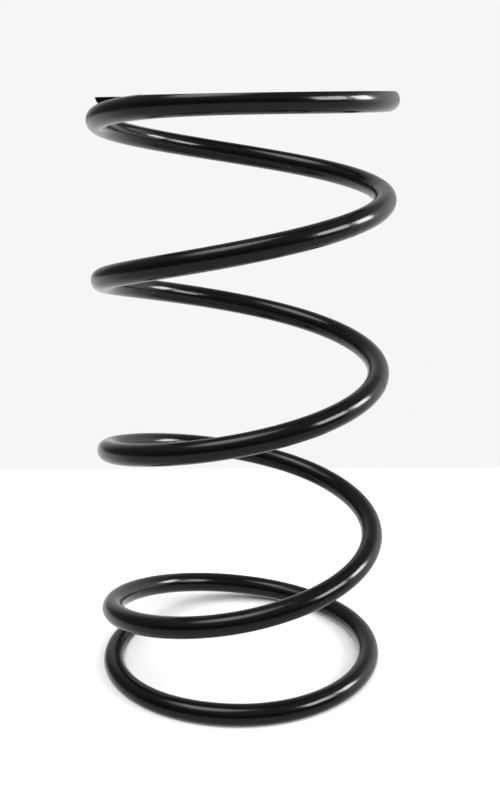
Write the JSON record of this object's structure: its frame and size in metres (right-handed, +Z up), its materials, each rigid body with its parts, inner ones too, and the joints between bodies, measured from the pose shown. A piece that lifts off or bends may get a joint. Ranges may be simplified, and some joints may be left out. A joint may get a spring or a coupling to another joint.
{
  "type": "coil compression spring",
  "caption": "Tall coil compression spring for a car suspension: round black coated wire, closed flat ground ends, unloaded, leaning slightly.",
  "frame": {"origin": "middle of the outline, on the plane of the lower ground seat", "axes": "+Z up along the spring, from the lower seat to the upper; the spring leans towards +Y as it rises; the wire climbs right-handed about +Z"},
  "size_m": [0.1656, 0.1812, 0.3257],
  "materials": {
    "black_coating": "gloss black powder coat over spring steel wire, also over the ground ends"
  },
  "bodies": {
    "lower_end_coil": {"lower_end_coil": "black_coating"},
    "active_arc_01": {"active_arc_01": "black_coating"},
    "active_arc_02": {"active_arc_02": "black_coating"},
    "active_arc_03": {"active_arc_03": "black_coating"},
    "active_arc_04": {"active_arc_04": "black_coating"},
    "active_arc_05": {"active_arc_05": "black_coating"},
    "active_arc_06": {"active_arc_06": "black_coating"},
    "active_arc_07": {"active_arc_07": "black_coating"},
    "active_arc_08": {"active_arc_08": "black_coating"},
    "active_arc_09": {"active_arc_09": "black_coating"},
    "active_arc_10": {"active_arc_10": "black_coating"},
    "active_arc_11": {"active_arc_11": "black_coating"},
    "active_arc_12": {"active_arc_12": "black_coating"},
    "active_arc_13": {"active_arc_13": "black_coating"},
    "active_arc_14": {"active_arc_14": "black_coating"},
    "active_arc_15": {"active_arc_15": "black_coating"},
    "active_arc_16": {"active_arc_16": "black_coating"},
    "active_arc_17": {"active_arc_17": "black_coating"},
    "active_arc_18": {"active_arc_18": "black_coating"},
    "active_arc_19": {"active_arc_19": "black_coating"},
    "active_arc_20": {"active_arc_20": "black_coating"},
    "active_arc_21": {"active_arc_21": "black_coating"},
    "active_arc_22": {"active_arc_22": "black_coating"},
    "upper_end_coil": {"upper_end_coil": "black_coating"}
  },
  "joints": [
    {"name": "compression", "type": "slide", "parent": "lower_end_coil", "child": "upper_end_coil", "axis": [0, 0, 1], "range_m": [-0.21535, 0], "stiffness_N_per_m": 16400},
    {"name": "twist_01", "type": "hinge", "parent": "lower_end_coil", "child": "active_arc_01", "pos_m": [-0.0014, 0.06537, 0.00873], "axis": [0.4092, -0.8744, -0.2607], "range_deg": [0, 2.54], "stiffness_Nm_per_rad": 50},
    {"name": "twist_02", "type": "hinge", "parent": "active_arc_01", "child": "active_arc_02", "pos_m": [-0.06311, 0.03333, 0.02191], "axis": [0.9686, 0.2466, -0.0298], "range_deg": [0, 5.49], "stiffness_Nm_per_rad": 50},
    {"name": "twist_03", "type": "hinge", "parent": "active_arc_02", "child": "active_arc_03", "pos_m": [-0.07133, -0.03544, 0.03871], "axis": [-0.0702, 0.9925, 0.0997], "range_deg": [0, 7.75], "stiffness_Nm_per_rad": 50},
    {"name": "twist_04", "type": "hinge", "parent": "active_arc_03", "child": "active_arc_04", "pos_m": [-0.01888, -0.08101, 0.05499], "axis": [-0.9767, 0.1954, -0.0889], "range_deg": [0, 8.12], "stiffness_Nm_per_rad": 50},
    {"name": "twist_05", "type": "hinge", "parent": "active_arc_04", "child": "active_arc_05", "pos_m": [0.04887, -0.06343, 0.06878], "axis": [-0.6616, -0.7484, -0.0464], "range_deg": [0, 7.58], "stiffness_Nm_per_rad": 50},
    {"name": "twist_06", "type": "hinge", "parent": "active_arc_05", "child": "active_arc_06", "pos_m": [0.07334, 0.00259, 0.08057], "axis": [0.046, -0.9867, -0.1556], "range_deg": [0, 7.36], "stiffness_Nm_per_rad": 50},
    {"name": "twist_07", "type": "hinge", "parent": "active_arc_06", "child": "active_arc_07", "pos_m": [0.0334, 0.06046, 0.09274], "axis": [0.7854, -0.6163, -0.0566], "range_deg": [0, 8.69], "stiffness_Nm_per_rad": 50},
    {"name": "twist_08", "type": "hinge", "parent": "active_arc_07", "child": "active_arc_08", "pos_m": [-0.03643, 0.06068, 0.10757], "axis": [0.9277, 0.3586, -0.1038], "range_deg": [0, 10.05], "stiffness_Nm_per_rad": 50},
    {"name": "twist_09", "type": "hinge", "parent": "active_arc_08", "child": "active_arc_09", "pos_m": [-0.07568, 0.0035, 0.12516], "axis": [0.0809, 0.9966, 0.0145], "range_deg": [0, 10.67], "stiffness_Nm_per_rad": 50},
    {"name": "twist_10", "type": "hinge", "parent": "active_arc_09", "child": "active_arc_10", "pos_m": [-0.05019, -0.0611, 0.1431], "axis": [-0.8527, 0.515, -0.0872], "range_deg": [0, 9.59], "stiffness_Nm_per_rad": 25},
    {"name": "twist_11", "type": "hinge", "parent": "active_arc_10", "child": "active_arc_11", "pos_m": [0.01826, -0.07648, 0.15844], "axis": [-0.9037, -0.4255, -0.0468], "range_deg": [0, 8], "stiffness_Nm_per_rad": 25},
    {"name": "twist_22", "type": "hinge", "parent": "upper_end_coil", "child": "active_arc_22", "pos_m": [-0.04946, -0.05145, 0.31779], "axis": [0.8385, 0.4057, 0.3638], "range_deg": [0, 1.1], "stiffness_Nm_per_rad": 50},
    {"name": "twist_21", "type": "hinge", "parent": "active_arc_22", "child": "active_arc_21", "pos_m": [-0.07664, 0.01413, 0.30534], "axis": [0.6922, -0.717, 0.0821], "range_deg": [0, 3.52], "stiffness_Nm_per_rad": 50},
    {"name": "twist_20", "type": "hinge", "parent": "active_arc_21", "child": "active_arc_20", "pos_m": [-0.0375, 0.07322, 0.29017], "axis": [-0.6137, -0.7676, -0.1849], "range_deg": [0, 5.42], "stiffness_Nm_per_rad": 50},
    {"name": "twist_19", "type": "hinge", "parent": "active_arc_20", "child": "active_arc_19", "pos_m": [0.03403, 0.07402, 0.27809], "axis": [-0.9023, 0.397, 0.1679], "range_deg": [0, 5.91], "stiffness_Nm_per_rad": 50},
    {"name": "twist_18", "type": "hinge", "parent": "active_arc_19", "child": "active_arc_18", "pos_m": [0.0759, 0.01508, 0.26944], "axis": [-0.1321, 0.9905, 0.0386], "range_deg": [0, 6.05], "stiffness_Nm_per_rad": 50},
    {"name": "twist_17", "type": "hinge", "parent": "active_arc_18", "child": "active_arc_17", "pos_m": [0.05184, -0.05326, 0.26053], "axis": [0.5929, 0.7844, 0.1822], "range_deg": [0, 6.69], "stiffness_Nm_per_rad": 50},
    {"name": "twist_16", "type": "hinge", "parent": "active_arc_17", "child": "active_arc_16", "pos_m": [-0.01722, -0.07264, 0.24752], "axis": [0.9994, 0.0117, 0.0326], "range_deg": [0, 8.48], "stiffness_Nm_per_rad": 50},
    {"name": "twist_15", "type": "hinge", "parent": "active_arc_16", "child": "active_arc_15", "pos_m": [-0.07142, -0.02729, 0.22989], "axis": [0.4915, -0.8696, 0.0463], "range_deg": [0, 10.08], "stiffness_Nm_per_rad": 50},
    {"name": "twist_14", "type": "hinge", "parent": "active_arc_15", "child": "active_arc_14", "pos_m": [-0.06402, 0.04247, 0.21062], "axis": [-0.5796, -0.8148, -0.012], "range_deg": [0, 10.65], "stiffness_Nm_per_rad": 50},
    {"name": "twist_13", "type": "hinge", "parent": "active_arc_14", "child": "active_arc_13", "pos_m": [-0.00174, 0.07541, 0.1937], "axis": [-0.9769, 0.158, 0.1441], "range_deg": [0, 9.52], "stiffness_Nm_per_rad": 25},
    {"name": "twist_12", "type": "hinge", "parent": "active_arc_13", "child": "active_arc_12", "pos_m": [0.06128, 0.04244, 0.18086], "axis": [-0.4208, 0.9051, 0.0615], "range_deg": [0, 7.96], "stiffness_Nm_per_rad": 25}
  ],
  "couplings": [
    {"joint": "twist_01", "follows": "compression", "rad_per_m": -0.20618},
    {"joint": "twist_02", "follows": "compression", "rad_per_m": -0.4446},
    {"joint": "twist_03", "follows": "compression", "rad_per_m": -0.62842},
    {"joint": "twist_04", "follows": "compression", "rad_per_m": -0.65813},
    {"joint": "twist_05", "follows": "compression", "rad_per_m": -0.6145},
    {"joint": "twist_06", "follows": "compression", "rad_per_m": -0.59661},
    {"joint": "twist_07", "follows": "compression", "rad_per_m": -0.70387},
    {"joint": "twist_08", "follows": "compression", "rad_per_m": -0.81425},
    {"joint": "twist_09", "follows": "compression", "rad_per_m": -0.86481},
    {"joint": "twist_10", "follows": "compression", "rad_per_m": -0.77681},
    {"joint": "twist_11", "follows": "compression", "rad_per_m": -0.64864},
    {"joint": "twist_22", "follows": "compression", "rad_per_m": -0.089128},
    {"joint": "twist_21", "follows": "compression", "rad_per_m": -0.28529},
    {"joint": "twist_20", "follows": "compression", "rad_per_m": -0.43927},
    {"joint": "twist_19", "follows": "compression", "rad_per_m": -0.47922},
    {"joint": "twist_18", "follows": "compression", "rad_per_m": -0.49047},
    {"joint": "twist_17", "follows": "compression", "rad_per_m": -0.54243},
    {"joint": "twist_16", "follows": "compression", "rad_per_m": -0.68725},
    {"joint": "twist_15", "follows": "compression", "rad_per_m": -0.81682},
    {"joint": "twist_14", "follows": "compression", "rad_per_m": -0.86277},
    {"joint": "twist_13", "follows": "compression", "rad_per_m": -0.77153},
    {"joint": "twist_12", "follows": "compression", "rad_per_m": -0.64504}
  ]
}
